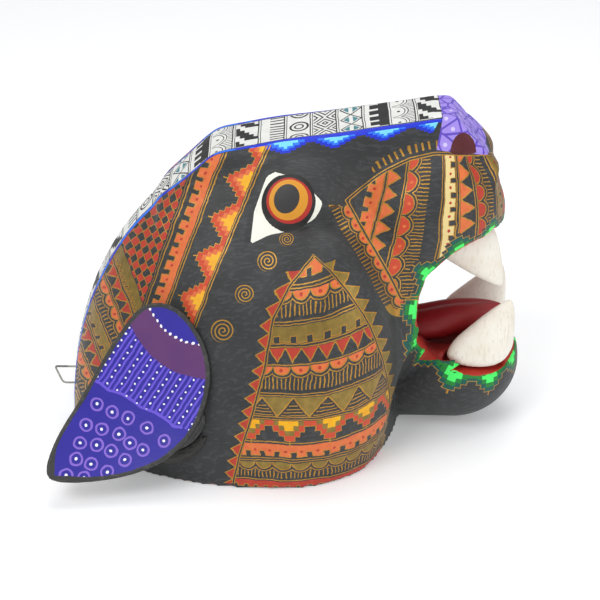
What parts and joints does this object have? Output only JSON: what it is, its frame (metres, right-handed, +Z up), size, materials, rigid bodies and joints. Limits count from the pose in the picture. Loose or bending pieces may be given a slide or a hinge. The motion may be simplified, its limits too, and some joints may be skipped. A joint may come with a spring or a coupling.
{
  "type": "carved big cat mask",
  "caption": "Hollow carved wooden big cat head mask with an open mouth, inset fangs and tongue, pinned ears and a sliding wire loop for hanging.",
  "frame": {"origin": "on the table, under the middle of the length from the wire's point to the chin", "axes": "+X along the muzzle, +Y to the animal's left, +Z up from the open rim"},
  "size_m": [0.3009, 0.2448, 0.209],
  "materials": {
    "painted_head": "brushed charcoal acrylic paint under raised gold, red, green and blue patterns, soft sheen",
    "painted_ear": "deep blue acrylic paint with plum bands and lavender rings, soft sheen",
    "bare_wood": "bare turned dowel",
    "glue_filler": "rough glue and sawdust, painted dark",
    "painted_fang": "cream acrylic paint with a beige wash",
    "painted_tongue": "red acrylic paint, satin",
    "steel_wire": "bent galvanised wire"
  },
  "bodies": {
    "mask": {"head_shell": "painted_head", "right_ear": "painted_ear", "left_ear": "painted_ear", "ear_dowels": "bare_wood", "right_ear_filler": "glue_filler", "left_ear_filler": "glue_filler", "upper_right_fang": "painted_fang", "upper_left_fang": "painted_fang", "lower_right_fang": "painted_fang", "lower_left_fang": "painted_fang", "tongue": "painted_tongue"},
    "hanger": {"hanging_wire": "steel_wire"}
  },
  "joints": [
    {"name": "hanger_slide", "type": "slide", "parent": "mask", "child": "hanger", "axis": [-1, 0, 0], "range_m": [-0.005, 0.005]}
  ]
}
